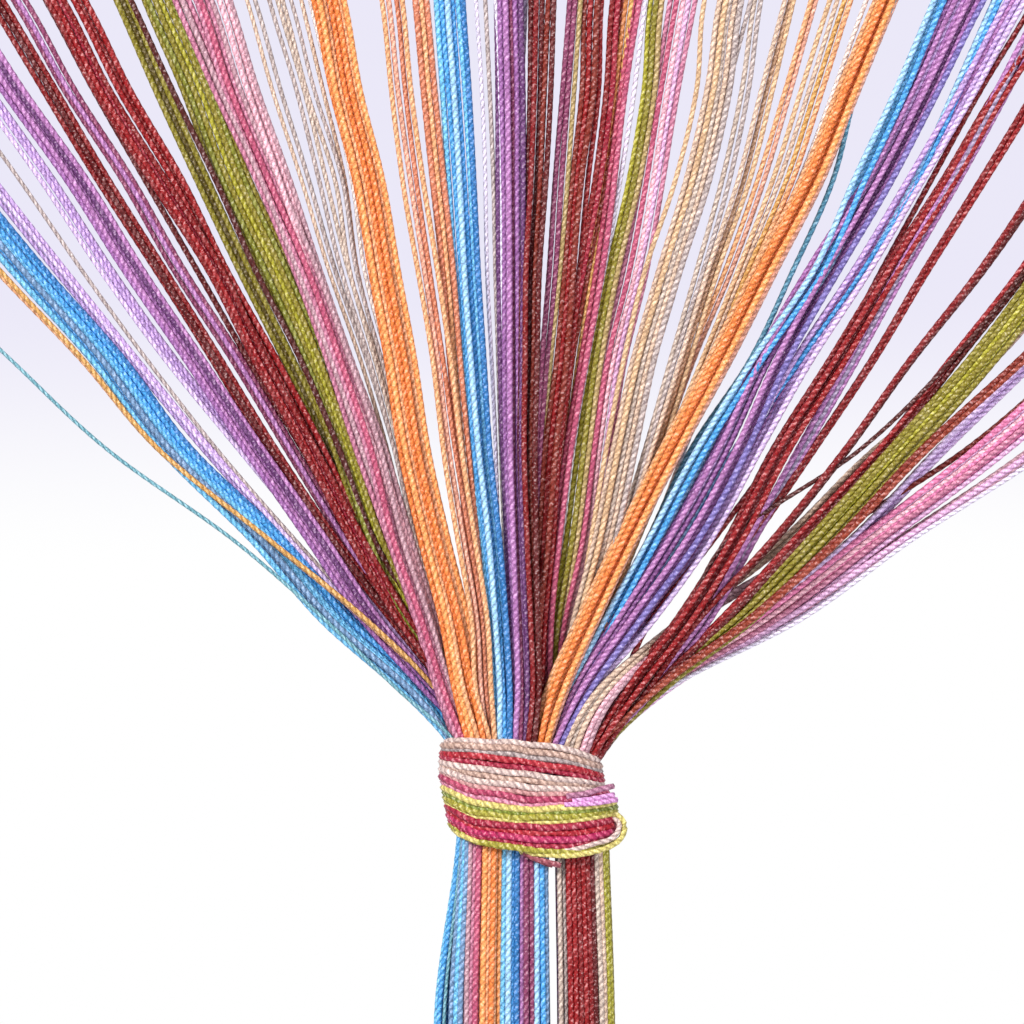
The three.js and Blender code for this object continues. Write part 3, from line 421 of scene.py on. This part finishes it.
class Heap:
    """Many tubes on their way to being one mesh."""

    def __init__(self):
        self.verts, self.quads, self.uv, self.count = [], [], [], 0

    def add(self, verts, quads, uv):
        self.verts.append(verts)
        self.quads.append(quads + self.count)
        self.uv.append(uv)
        self.count += len(verts)

    def piece(self, name, material):
        verts, quads, uv = np.concatenate(self.verts) * MM, np.concatenate(self.quads), np.concatenate(self.uv)
        return mesh_piece(name, verts, quads, uv, material)


def mesh_piece(name, verts, quads, uv, material, smooth=True):
    mesh = bpy.data.meshes.new(name)
    mesh.vertices.add(len(verts))
    mesh.vertices.foreach_set("co", np.asarray(verts, np.float32).ravel())
    mesh.loops.add(quads.size)
    mesh.loops.foreach_set("vertex_index", np.asarray(quads, np.int32).ravel())
    mesh.polygons.add(len(quads))
    mesh.polygons.foreach_set("loop_start", np.arange(0, quads.size, quads.shape[1], dtype=np.int32))
    mesh.polygons.foreach_set("use_smooth", np.full(len(quads), smooth))
    mesh.update(calc_edges=True)
    layer = mesh.uv_layers.new(name="OFBake")
    layer.uv.foreach_set("vector", np.asarray(uv, np.float32).ravel())
    mesh.materials.append(material)
    obj = bpy.data.objects.new(name, mesh)
    scene.collection.objects.link(obj)
    return obj


# ---- materials -------------------------------------------------------------------------------------
class Nodes:
    """Short names for building a node tree."""

    def __init__(self, name):
        self.material = bpy.data.materials.new(name)
        self.material.use_nodes = True
        self.tree = self.material.node_tree
        self.tree.nodes.clear()
        self.out = self.tree.nodes.new("ShaderNodeOutputMaterial")
        self.bsdf = self.tree.nodes.new("ShaderNodeBsdfPrincipled")
        self.tree.links.new(self.bsdf.outputs[0], self.out.inputs["Surface"])

    def put(self, socket, value):
        if isinstance(value, bpy.types.NodeSocket):
            self.tree.links.new(value, socket)
        else:
            socket.default_value = value

    def math(self, operation, a, b=None, c=None, clamp=False):
        node = self.tree.nodes.new("ShaderNodeMath")
        node.operation, node.use_clamp = operation, clamp
        for socket, value in zip(node.inputs, (a, b, c)):
            if value is not None:
                self.put(socket, value)
        return node.outputs[0]

    def mix(self, factor, a, b, kind="MIX"):
        node = self.tree.nodes.new("ShaderNodeMix")
        node.data_type, node.blend_type = "RGBA", kind
        self.put(node.inputs[0], factor)
        self.put(node.inputs[6], a)
        self.put(node.inputs[7], b)
        return node.outputs[2]

    def steps(self, value, low, high):
        node = self.tree.nodes.new("ShaderNodeMapRange")
        node.interpolation_type = "SMOOTHSTEP"
        self.put(node.inputs["Value"], value)
        node.inputs["From Min"].default_value = low
        node.inputs["From Max"].default_value = high
        return node.outputs[0]

    def combine(self, x, y, z=0.0):
        node = self.tree.nodes.new("ShaderNodeCombineXYZ")
        for socket, value in zip(node.inputs, (x, y, z)):
            self.put(socket, value)
        return node.outputs[0]

    def noise(self, vector, scale, detail=1.0, rough=0.5):
        node = self.tree.nodes.new("ShaderNodeTexNoise")
        self.put(node.inputs["Vector"], vector)
        node.inputs["Scale"].default_value = scale
        node.inputs["Detail"].default_value = detail
        node.inputs["Roughness"].default_value = rough
        return node.outputs["Fac"]

    def colours(self, value, codes):
        """A stepped ramp: value from 0 to len(codes)."""
        node = self.tree.nodes.new("ShaderNodeValToRGB")
        ramp = node.color_ramp
        ramp.interpolation = "CONSTANT"
        ramp.elements[0].position, ramp.elements[0].color = 0.0, linear(codes[0])
        ramp.elements[1].position, ramp.elements[1].color = 1.0, linear(codes[-1])
        for k, code in enumerate(codes[1:], 1):
            element = ramp.elements.new(k / len(codes))
            element.color = linear(code)
        self.put(node.inputs[0], self.math("DIVIDE", value, float(len(codes))))
        return node.outputs[0]


def yarn_material(name, shades):
    """Shiny two-ply string. Its map runs along the string in u and has a row in v for each of the
    shades; v goes once round the string. The twist, its fibres, painted shade in the grooves and
    painted highlights and glints on the crests are drawn in the map, and repeat along it without a seam."""
    k = Nodes(name)
    uv = k.tree.nodes.new("ShaderNodeUVMap")
    uv.uv_map = "OFBake"
    apart = k.tree.nodes.new("ShaderNodeSeparateXYZ")
    k.tree.links.new(uv.outputs[0], apart.inputs[0])
    u, v = apart.outputs[0], apart.outputs[1]
    rows_v = k.math("MULTIPLY", v, float(len(shades)))
    row = k.math("FLOOR", rows_v)
    round_it = k.math("DIVIDE", k.math("SUBTRACT", k.math("SUBTRACT", rows_v, row), 0.04), 0.92)
    turns = 11.0
    along = k.math("MULTIPLY", u, turns)
    base = k.colours(k.math("ADD", row, 0.5), shades)
    phase = k.math("ADD", round_it, along)
    # 1 on the plies' crests, 0 in the groove between them
    ply = k.math("MULTIPLY_ADD", k.math("COSINE", k.math("MULTIPLY", phase, 4 * math.pi)), 0.5, 0.5)

    def patch(features, across, shift):
        """Noise that repeats along the map, with so many features in it."""
        turn, radius = k.math("MULTIPLY", u, 2 * math.pi), features / (2 * math.pi)
        height = k.math("ADD", k.math("MULTIPLY", row, 3.71), k.math("MULTIPLY_ADD", round_it, across, shift))
        return k.noise(k.combine(k.math("MULTIPLY", k.math("COSINE", turn), radius), k.math("MULTIPLY", k.math("SINE", turn), radius), height), 1.0, 1.0, 0.5)

    crest_light, slow, fleck, rough = patch(30.0, 2.6, 0.0), patch(6.0, 0.4, 9.3), patch(84.0, 6.0, 17.1), patch(110.0, 9.0, 31.0)
    # filaments of each ply, at a slant to it
    thread = k.math("MULTIPLY_ADD", k.math("SINE", k.math("MULTIPLY", k.math("ADD", k.math("MULTIPLY", round_it, 8.0), k.math("MULTIPLY", along, -4.0)), 2 * math.pi)), 0.5, 0.5)
    # Painted shade: towards deep and dark the colour goes darker in the groove between the plies and along the lines
    # between the filaments; the bump gives the same grooves as shape.
    deep = k.mix(1.0, base, (0.26, 0.18, 0.22, 1.0), "MULTIPLY")
    dark = k.mix(0.52, base, deep)
    # Painted highlight: on the plies' crests the colour goes paler, towards pale, strongly on some crests and faintly
    # on the rest as crest_light picks them.
    bright = k.mix(1.0, base, (1.55, 1.5, 1.5, 1.0), "MULTIPLY")
    pale = k.mix(0.10, bright, (1.0, 0.93, 0.92, 1.0))
    colour = k.mix(k.steps(ply, 0.0, 0.42), dark, base)
    crest_highlight = k.math("MULTIPLY", k.steps(ply, 0.35, 1.0), k.math("MULTIPLY_ADD", k.steps(crest_light, 0.42, 0.64), 0.72, 0.04))
    colour = k.mix(crest_highlight, colour, pale)
    # painted shade along the lines between the filaments
    colour = k.mix(k.math("MULTIPLY", thread, 0.2), colour, dark)
    colour = k.mix(k.math("MULTIPLY", k.steps(slow, 0.45, 0.7), 0.14), colour, pale)
    # Painted glints: small near-white flecks on the crests, where fleck is high.
    crest_glint = k.math("MULTIPLY", k.steps(fleck, 0.55, 0.68), k.steps(ply, -0.1, 0.6))
    colour = k.mix(k.math("MULTIPLY", crest_glint, 0.8), colour, k.mix(0.28, bright, (1.0, 0.93, 0.92, 1.0)))
    shade = k.math("MULTIPLY", k.steps(fleck, 0.45, 0.30), 0.55)
    colour = k.mix(shade, colour, deep)
    k.put(k.bsdf.inputs["Base Color"], colour)
    k.put(k.bsdf.inputs["Roughness"], k.math("MULTIPLY_ADD", rough, 0.3, 0.34))
    k.bsdf.inputs["Specular IOR Level"].default_value = 0.22
    height = k.math("ADD", ply, k.math("MULTIPLY", thread, 0.22))
    bump = k.tree.nodes.new("ShaderNodeBump")
    bump.inputs["Strength"].default_value = 0.6
    bump.inputs["Distance"].default_value = 0.00022
    k.put(bump.inputs["Height"], height)
    k.put(k.bsdf.inputs["Normal"], bump.outputs[0])
    return k.material


# ---- the strings --------------------------------------------------------------------------------------
heaps = {name: Heap() for name in FAMILIES}
THIN = {"grey_a": 0.74, "grey_b": 0.74, "grey_c": 0.74, "grey_d": 0.74, "white_lilac": 0.74, "lilac_line": 0.82, "lilac_three": 0.85,
        "plum_three": 0.9, "grey_single": 0.76, "grey_pair": 0.82, "beige_three": 0.85, "peach_pair": 0.82, "beige_pair": 0.82,
        "gold_two": 0.88, "beige_last": 0.8, "beige_single": 0.85, "lilac_white": 0.8, "pink_five": 0.88, "orange_four": 0.9,
        "teal_pair": 0.85, "lilac_lowest": 0.75, "teal_edge": 0.6, "edge_orange": 0.85, "stray_brown": 0.72, "khaki_single": 0.85, "grey_line": 0.7}
for s in strings:
    i, r = s["order"], np.random.RandomState(900 + s["order"])
    points = route(s)
    start = int(r.randint(0, TILE))
    step = start + np.arange(len(points))
    x, y, z = points.T
    seen = (z < -506) & (z > -782) & (np.abs(x - VIEW_X) < 137)
    seen &= ~((z < TIE_TOP - 9) & (z > TIE_TOP - 17))
    # below the tie only the outer layer is seen
    buried = (np.abs((TAIL[i][0] + 1.1) / 22.4) ** 2.6 + np.abs(TAIL[i][1] / 8.6) ** 2.6) < 0.42
    if buried or TAIL[i][1] > 2.5:
        seen &= z > TIE_TOP - 9
    block = step // MEDIUM
    fine = np.isin(block, np.unique(block[seen]))
    near = (z < -440) & (z > -830)
    keep = fine | (step % COARSE == 0) | (near & (step % MEDIUM == 0))
    keep |= np.roll(fine, 1) & (step % MEDIUM == 0)
    keep[[0, -1]] = True
    rings = np.flatnonzero(keep)
    size = r.uniform(0.94, 1.05) * THIN.get(s["row"]["name"], 1.0)
    heaps[s["row"]["family"]].add(*twisted(points, start, rings, s["shade"], 8, size))

for name, heap in heaps.items():
    piece = heap.piece("strings_" + name, yarn_material("yarn_" + name, FAMILIES[name]))
    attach(piece, "root")
    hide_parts("strings")
    print(piece.name, len(piece.data.polygons) * 2, flush=True)

# ---- the tie: a hank wound round the waist ---------------------------------------------------------------
TIE_SHADES = ["b8998a", "ccb6ae", "a09290", "a8182a", "9c1838", "a83a5c", "780a1c", "d898d0",
              "78842a", "a09a34", "d0c470", "904450", "a8708c", "b02458", "c08c8a", "cc8098"]
# Each strand: its shade, how far its middle reaches left and right (x), how far it stands off
# the strings, and its height (z) at its left end, at FRONT_X and at its right end.
FRONT_X = (-12.0, -1.25, 10.5)
WOUND = [
    ("cream_a", 1, -20.2, 17.4, 0.30, (-700.25, -700.12, -700.45, -702.38, -705.00)),
    ("beige_a", 0, -21.2, 17.9, 0.75, (-701.25, -701.30, -702.08, -704.00, -706.75)),
    ("grey_a", 2, -20.9, 17.9, 0.35, (-702.38, -702.55, -703.60, -705.40, -707.88)),
    ("red_a", 3, -21.4, 18.2, 0.70, (-703.12, -703.75, -705.08, -706.65, -708.95)),
    ("crimson_a", 4, -21.4, 18.4, 0.35, (-704.38, -705.25, -706.65, -708.05, -710.00)),
    ("cream_b", 1, -21.6, 18.4, 0.70, (-705.38, -706.75, -708.15, -709.55, -710.90)),
    ("beige_b", 0, -21.3, 18.2, 0.35, (-706.12, -708.25, -709.70, -710.70, -711.50)),
    ("cream_c", 1, -21.6, 18.4, 0.75, (-707.12, -709.83, -711.25, -711.90, -712.25)),
    ("pale_rose", 14, -21.3, 18.7, 0.40, (-708.00, -711.25, -712.80, -713.05, -713.00)),
    ("dark_rose", 5, -21.6, 19.7, 0.75, (-709.12, -712.58, -714.25, -714.30, -713.62)),
    ("pink", 15, -21.1, 20.7, 0.35, (-710.50, -714.05, -715.60, -715.48, -714.50)),
    ("yellow_a", 10, -21.1, 21.4, 0.70, (-712.00, -715.38, -716.80, -716.65, -715.50)),
    ("green_a", 8, -20.7, 21.7, 0.35, (-713.25, -716.65, -717.90, -717.65, -716.60)),
    ("green_b", 9, -20.6, 21.7, 0.75, (-714.38, -717.85, -719.00, -718.70, -717.50)),
    ("yellow_b", 10, -20.2, 21.6, 0.35, (-715.38, -718.90, -720.10, -719.70, -718.35)),
    ("crimson_b", 4, -20.1, 21.7, 0.80, (-716.38, -720.10, -721.25, -721.10, -719.50)),
    ("red_b", 3, -19.7, 21.9, 0.35, (-717.62, -721.40, -722.70, -722.70, -721.00)),
    ("magenta", 13, -19.7, 21.9, 0.80, (-718.75, -722.65, -724.20, -724.30, -722.50)),
    ("crimson_c", 4, -19.2, 21.4, 0.35, (-720.00, -723.85, -725.70, -725.90, -724.05)),
    ("olive_low", 9, -19.2, 20.9, 0.55, (-721.12, -724.75, -726.70, -727.35, -725.38)),
]
# Loose ends and loops of the hank, as points (x, y, z).
LOOSE = [
    ("yellow_loop", 10, 1.0, ((-10, 9.2, -723.6), (-16.6, 6.4, -722.9), (-18.5, 2.0, -722.4), (-18.3, -3.0, -722.3), (-16.7, -7.0, -723.4), (-12.5, -8.9, -724.9), (-8.2, -9.0, -725.9), (-6.4, -6.9, -726.4), (-4.2, -5.9, -726.9), (-2.0, -6.9, -727.4), (-0.2, -9.3, -727.7), (4.5, -10.1, -728.2), (10.5, -10.1, -728.4), (15.75, -9.5, -727.6), (20.0, -8.0, -726.4), (22.6, -6.4, -724.8), (23.8, -5.4, -723.0), (24.0, -4.8, -720.8), (23.0, -4.8, -719.0), (21.3, -4.4, -718.2), (19.6, -3.6, -718.2))),
    ("cream_loop", 1, 0.9, ((5.0, -9.9, -727.0), (12.0, -9.8, -726.7), (16.5, -9.2, -725.5), (20.3, -7.6, -724.5), (22.2, -6.2, -722.9), (22.8, -5.4, -721.2), (22.2, -4.8, -719.8), (20.4, -4.2, -719.2))),
    ("purple_end", 12, 1.05, ((9.5, -10.3, -713.6), (14.5, -10.2, -712.9), (18.0, -8.8, -711.9), (21.3, -7.4, -711.2))),
    ("lilac_a", 7, 0.95, ((11.0, -10.6, -714.8), (16.5, -9.8, -714.2), (20.0, -8.0, -713.6), (22.4, -6.6, -713.2))),
    ("lilac_b", 7, 0.95, ((9.0, -10.7, -715.7), (16.0, -10.0, -715.4), (20.0, -8.2, -714.9), (22.2, -6.8, -714.6))),
    ("stub", 11, 1.1, ((-1.0, -8.9, -727.6), (1.0, -9.3, -728.8), (3.0, -9.6, -729.5), (5.8, -9.7, -730.3), (8.2, -9.5, -730.9))),
    ("stub_low", 11, 0.8, ((1.0, -8.3, -728.9), (2.8, -8.7, -729.9), (5.0, -8.9, -730.7), (7.4, -8.8, -731.4))),
]
tie = Heap()


def smooth_path(points, step):
    """Catmull-Rom through points, evenly spaced."""
    p = np.asarray(points, float)
    p = np.vstack([2 * p[0] - p[1], p, 2 * p[-1] - p[-2]])
    out = []
    for a, b, c, d in zip(p[:-3], p[1:-2], p[2:-1], p[3:]):
        t = np.linspace(0, 1, 60, endpoint=False)[:, None]
        out.append(0.5 * (2 * b + (c - a) * t + (2 * a - 5 * b + 4 * c - d) * t**2 + (3 * b - a - 3 * c + d) * t**3))
    return spaced(np.concatenate(out + [p[-2:-1]]), step)


def spaced(path, step):
    run = np.concatenate([[0], np.cumsum(np.linalg.norm(np.diff(path, axis=0), axis=1))])
    at = np.arange(0, run[-1], step)
    return np.stack([np.interp(at, run, path[:, k]) for k in range(3)], 1)


def add_strand(heap, points, shade, size, seed):
    start = int(np.random.RandomState(seed).randint(0, TILE))
    heap.add(*twisted(points, start, np.arange(len(points)), shade, len(TIE_SHADES), size, side=(0.02, 0.03, 1.0), seam=180.0))


for k, (name, shade, x_left, x_right, out, heights) in enumerate(WOUND):
    r = np.random.RandomState(40 + k)
    a = np.radians(np.linspace(84, 452, 1400))
    ox, oy = outline(a, 1.0 + out)
    x = (x_left + x_right) / 2 + ox / np.abs(ox).max() * (x_right - x_left) / 2
    knots_x = np.array((x_left,) + FRONT_X + (x_right,))
    front = through(-knots_x, np.array(heights), -x)
    # round the back the ends lie side by side, tucked under
    round_back = 0.5 + 0.5 * np.sin(a)
    sway = (heights[0] + heights[-1]) / 2 + 0.5 * np.sign(a - np.pi * 1.5) * -1
    from_edge = np.where(a < np.pi * 1.5, heights[0], heights[-1])
    z = np.where(np.sin(a) < 0, front, mix(from_edge, sway, ease(np.maximum(np.sin(a), 0))))
    z = z + 0.15 * np.sin(3 * a + r.uniform(0, 6.3)) + 0.13 * np.sin(6 * a + r.uniform(0, 6.3))
    tuck = ease(np.minimum(a - a[0], a[-1] - a) / 0.35)
    y = oy * mix(0.90, 1.0, tuck) + 0.12 * np.sin(4 * a + r.uniform(0, 6.3))
    add_strand(tie, spaced(np.stack([x, y, z], 1), STEP), shade, r.uniform(1.21, 1.28) + (0.1 if k > 14 else 0.0), 300 + k)
for k, (name, shade, size, via) in enumerate(LOOSE):
    add_strand(tie, smooth_path(via, STEP), shade, size, 500 + k)
tie_piece = tie.piece("tie_hank", yarn_material("tie_yarn", TIE_SHADES))
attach(tie_piece, "root")
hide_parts("tie")
print(tie_piece.name, len(tie_piece.data.polygons) * 2, flush=True)

# ---- the row that joins the strings to the heading ----------------------------------------------------------
row_heap = Heap()
reach = COUNT * STRING_PITCH / 2
for k, (z, phase) in enumerate(((-46.2, 0.0), (-47.7, math.pi))):
    x = np.arange(-reach, reach, 0.25)
    y = wave_y(x, -HEADING_HEIGHT) + 0.62 * np.cos(2 * np.pi * x / (2 * STRING_PITCH) + phase)
    path = np.stack([x, y, z + 0.25 * np.sin(2 * np.pi * x / STRING_PITCH + phase)], 1)
    add_strand(row_heap, spaced(path, STEP), 14 if k else 0, 0.8, 700 + k)
row_piece = row_heap.piece("string_row", yarn_material("row_yarn", TIE_SHADES))
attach(row_piece, "root")
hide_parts("strings")

# ---- the heading: a woven tape in the strings' colours ---------------------------------------------------------
half = 0.75
profile = [(-half * 0.4, -0.1), (-half, -1.2)] + [(-half, -z) for z in (6, 12, 18, 26, 31, 36, 40, 43.6)]
profile += [(-half * 0.4, -44.9), (half * 0.4, -44.9)] + [(half, -z) for z in (43.6, 40, 36, 31, 26, 18, 12, 6)]
profile += [(half, -1.2), (half * 0.4, -0.1)]
profile = np.array(profile)
xs = np.linspace(-HEADING_WIDTH / 2 + 0.1, HEADING_WIDTH / 2 - 0.1, 681)
ring = np.stack([
    np.broadcast_to(xs[:, None], (len(xs), len(profile))),
    profile[None, :, 0] + wave_y(xs[:, None], profile[None, :, 1]) + 0.10 * np.sin(xs[:, None] * 0.11) * np.sin(profile[None, :, 1] * 0.16),
    np.broadcast_to(profile[None, :, 1], (len(xs), len(profile))),
], -1)
m, c = len(xs), len(profile)
base, k = np.arange(m - 1)[:, None] * c, np.arange(c)
quads = np.stack([base + k, base + (k + 1) % c, base + c + (k + 1) % c, base + c + k], -1).reshape(-1, 4)
u = np.broadcast_to(((np.arange(m - 1)[:, None]) / (m - 1)), (m - 1, c))
u2 = u + 1 / (m - 1)
v, v2 = np.broadcast_to(k / c, (m - 1, c)), np.broadcast_to((k + 1) / c, (m - 1, c))
uv = np.stack([np.stack([u, v], -1), np.stack([u, v2], -1), np.stack([u2, v2], -1), np.stack([u2, v], -1)], 2).reshape(-1, 4, 2)
end_quads = []
for first in (0, (m - 1) * c):
    for j in range(c // 2 - 1):
        q = [first + j, first + j + 1, first + c - 2 - j, first + c - 1 - j]
        end_quads.append(q[::-1] if first == 0 else q)
end_quads = np.array(end_quads)
end_uv = np.tile(np.array([[0.001, 0.001], [0.003, 0.001], [0.003, 0.003], [0.001, 0.003]]), (len(end_quads), 1, 1))


def heading_material():
    k = Nodes("heading_weave")
    colour = k.tree.nodes.new("ShaderNodeAttribute")
    colour.attribute_name = "stripe"
    base = colour.outputs["Color"]
    at = k.tree.nodes.new("ShaderNodeTexCoord")
    apart = k.tree.nodes.new("ShaderNodeSeparateXYZ")
    k.tree.links.new(at.outputs["Object"], apart.inputs[0])
    x, z = apart.outputs[0], apart.outputs[2]
    warp = k.math("MULTIPLY_ADD", k.math("SINE", k.math("MULTIPLY", x, 2 * math.pi / 0.0011)), 0.5, 0.5)
    weft = k.math("MULTIPLY_ADD", k.math("SINE", k.math("ADD", k.math("MULTIPLY", z, 2 * math.pi / 0.0016), k.math("MULTIPLY", k.math("FLOOR", k.math("MULTIPLY", x, 1 / 0.0011)), math.pi))), 0.5, 0.5)
    weave = k.math("MULTIPLY", warp, k.math("MULTIPLY_ADD", weft, 0.6, 0.4))
    uneven = k.noise(at.outputs["Object"], 90.0, 3.0, 0.6)
    # Painted shade between the threads of the weave, towards dark, and painted highlights on the threads' crests,
    # towards pale, patchy as uneven runs; the bump gives the weave as shape.
    dark = k.mix(1.0, base, (0.34, 0.3, 0.32, 1.0), "MULTIPLY")
    pale = k.mix(0.35, base, (1.0, 0.97, 0.95, 1.0))
    shown = k.mix(k.steps(weave, 0.05, 0.45), dark, base)
    shown = k.mix(k.math("MULTIPLY", k.steps(weave, 0.6, 1.0), k.steps(uneven, 0.4, 0.6)), shown, pale)
    k.put(k.bsdf.inputs["Base Color"], shown)
    k.put(k.bsdf.inputs["Roughness"], k.math("MULTIPLY_ADD", uneven, 0.3, 0.5))
    k.bsdf.inputs["Sheen Weight"].default_value = 0.15
    bump = k.tree.nodes.new("ShaderNodeBump")
    bump.inputs["Strength"].default_value = 0.7
    bump.inputs["Distance"].default_value = 0.0004
    k.put(bump.inputs["Height"], weave)
    k.put(k.bsdf.inputs["Normal"], bump.outputs[0])
    return k.material


heading = mesh_piece("heading_tape", ring.reshape(-1, 3) * MM, np.concatenate([quads, end_quads]), np.concatenate([uv, end_uv]), heading_material())
heading.data.uv_layers[0].name = "weave"
order_colours = np.array([linear(FAMILIES[s["row"]["family"]][s["shade"]]) for s in strings])
vx = ring.reshape(-1, 3)[:, 0]
index = np.clip(np.floor(vx / STRING_PITCH + COUNT / 2).astype(int), 0, COUNT - 1)
stripe = heading.data.color_attributes.new("stripe", "FLOAT_COLOR", "POINT")
stripe.data.foreach_set("color", order_colours[index].astype(np.float32).ravel())
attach(heading, "root")
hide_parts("heading")

# ---- backdrop, floor and light ------------------------------------------------------------------------------
def plane(name, corners, material):
    mesh = bpy.data.meshes.new(name)
    mesh.from_pydata(corners, [], [(0, 1, 2, 3)])
    mesh.materials.append(material)
    obj = bpy.data.objects.new(name, mesh)
    scene.collection.objects.link(obj)
    obj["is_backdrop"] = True
    return obj


floor_look = bpy.data.materials.new("floor_paper")
floor_look.use_nodes = True
floor_look.node_tree.nodes["Principled BSDF"].inputs["Base Color"].default_value = (0.86, 0.86, 0.87, 1)
floor_look.node_tree.nodes["Principled BSDF"].inputs["Roughness"].default_value = 0.9
plane("floor", [(-30, -30, -2.25), (30, -30, -2.25), (30, 30, -2.25), (-30, 30, -2.25)], floor_look)

# The backdrop is white paper far behind, a little cooler towards its top.
BACK_Y = 16.5
paper = Nodes("backdrop_paper")
where = paper.tree.nodes.new("ShaderNodeTexCoord")
split = paper.tree.nodes.new("ShaderNodeSeparateXYZ")
paper.tree.links.new(where.outputs["Object"], split.inputs[0])
paper_colour = paper.mix(paper.steps(split.outputs[2], -0.8, 0.0), (1.0, 1.0, 1.0, 1.0), (0.83, 0.81, 0.94, 1.0))
light = paper.tree.nodes.new("ShaderNodeEmission")
paper.put(light.inputs["Color"], paper_colour)
light.inputs["Strength"].default_value = 1.0
paper.tree.links.new(light.outputs[0], paper.out.inputs["Surface"])
plane("backdrop", [(-30, BACK_Y, -2.25), (30, BACK_Y, -2.25), (30, BACK_Y, 30), (-30, BACK_Y, 30)], paper.material)

world = bpy.data.worlds.new("studio")
world.use_nodes = True
scene.world = world
wt = world.node_tree
wt.nodes.clear()
wo = wt.nodes.new("ShaderNodeOutputWorld")
seen_bg, lit_bg = wt.nodes.new("ShaderNodeBackground"), wt.nodes.new("ShaderNodeBackground")
seen_bg.inputs[0].default_value, seen_bg.inputs[1].default_value = (1, 1, 1, 1), 0.97
lit_bg.inputs[0].default_value, lit_bg.inputs[1].default_value = (0.97, 0.98, 1.0, 1), 0.68
path = wt.nodes.new("ShaderNodeLightPath")
blend = wt.nodes.new("ShaderNodeMixShader")
wt.links.new(path.outputs["Is Camera Ray"], blend.inputs[0])
wt.links.new(lit_bg.outputs[0], blend.inputs[1])
wt.links.new(seen_bg.outputs[0], blend.inputs[2])
wt.links.new(blend.outputs[0], wo.inputs[0])


def lamp(name, at, aim, size, power, colour=(1, 1, 1)):
    data = bpy.data.lights.new(name, "AREA")
    data.shape, data.size, data.energy, data.color = "SQUARE", size, power, colour
    obj = bpy.data.objects.new(name, data)
    scene.collection.objects.link(obj)
    obj.location = at
    d = np.array(aim) - np.array(at)
    from mathutils import Vector
    obj.rotation_mode = "QUATERNION"
    obj.rotation_quaternion = Vector(d).to_track_quat("-Z", "Y")


lamp("key", (-1.5, -2.2, 0.9), (0, 0, -0.75), 0.8, 92, (1.0, 0.98, 0.95))
lamp("fill", (1.8, -2.0, -0.3), (0, 0, -0.8), 1.4, 30, (0.95, 0.97, 1.0))

size = {"cad": CAD_BOX, "visual": [list(c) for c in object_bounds()]}
print("SIZE", json.dumps(size), flush=True)
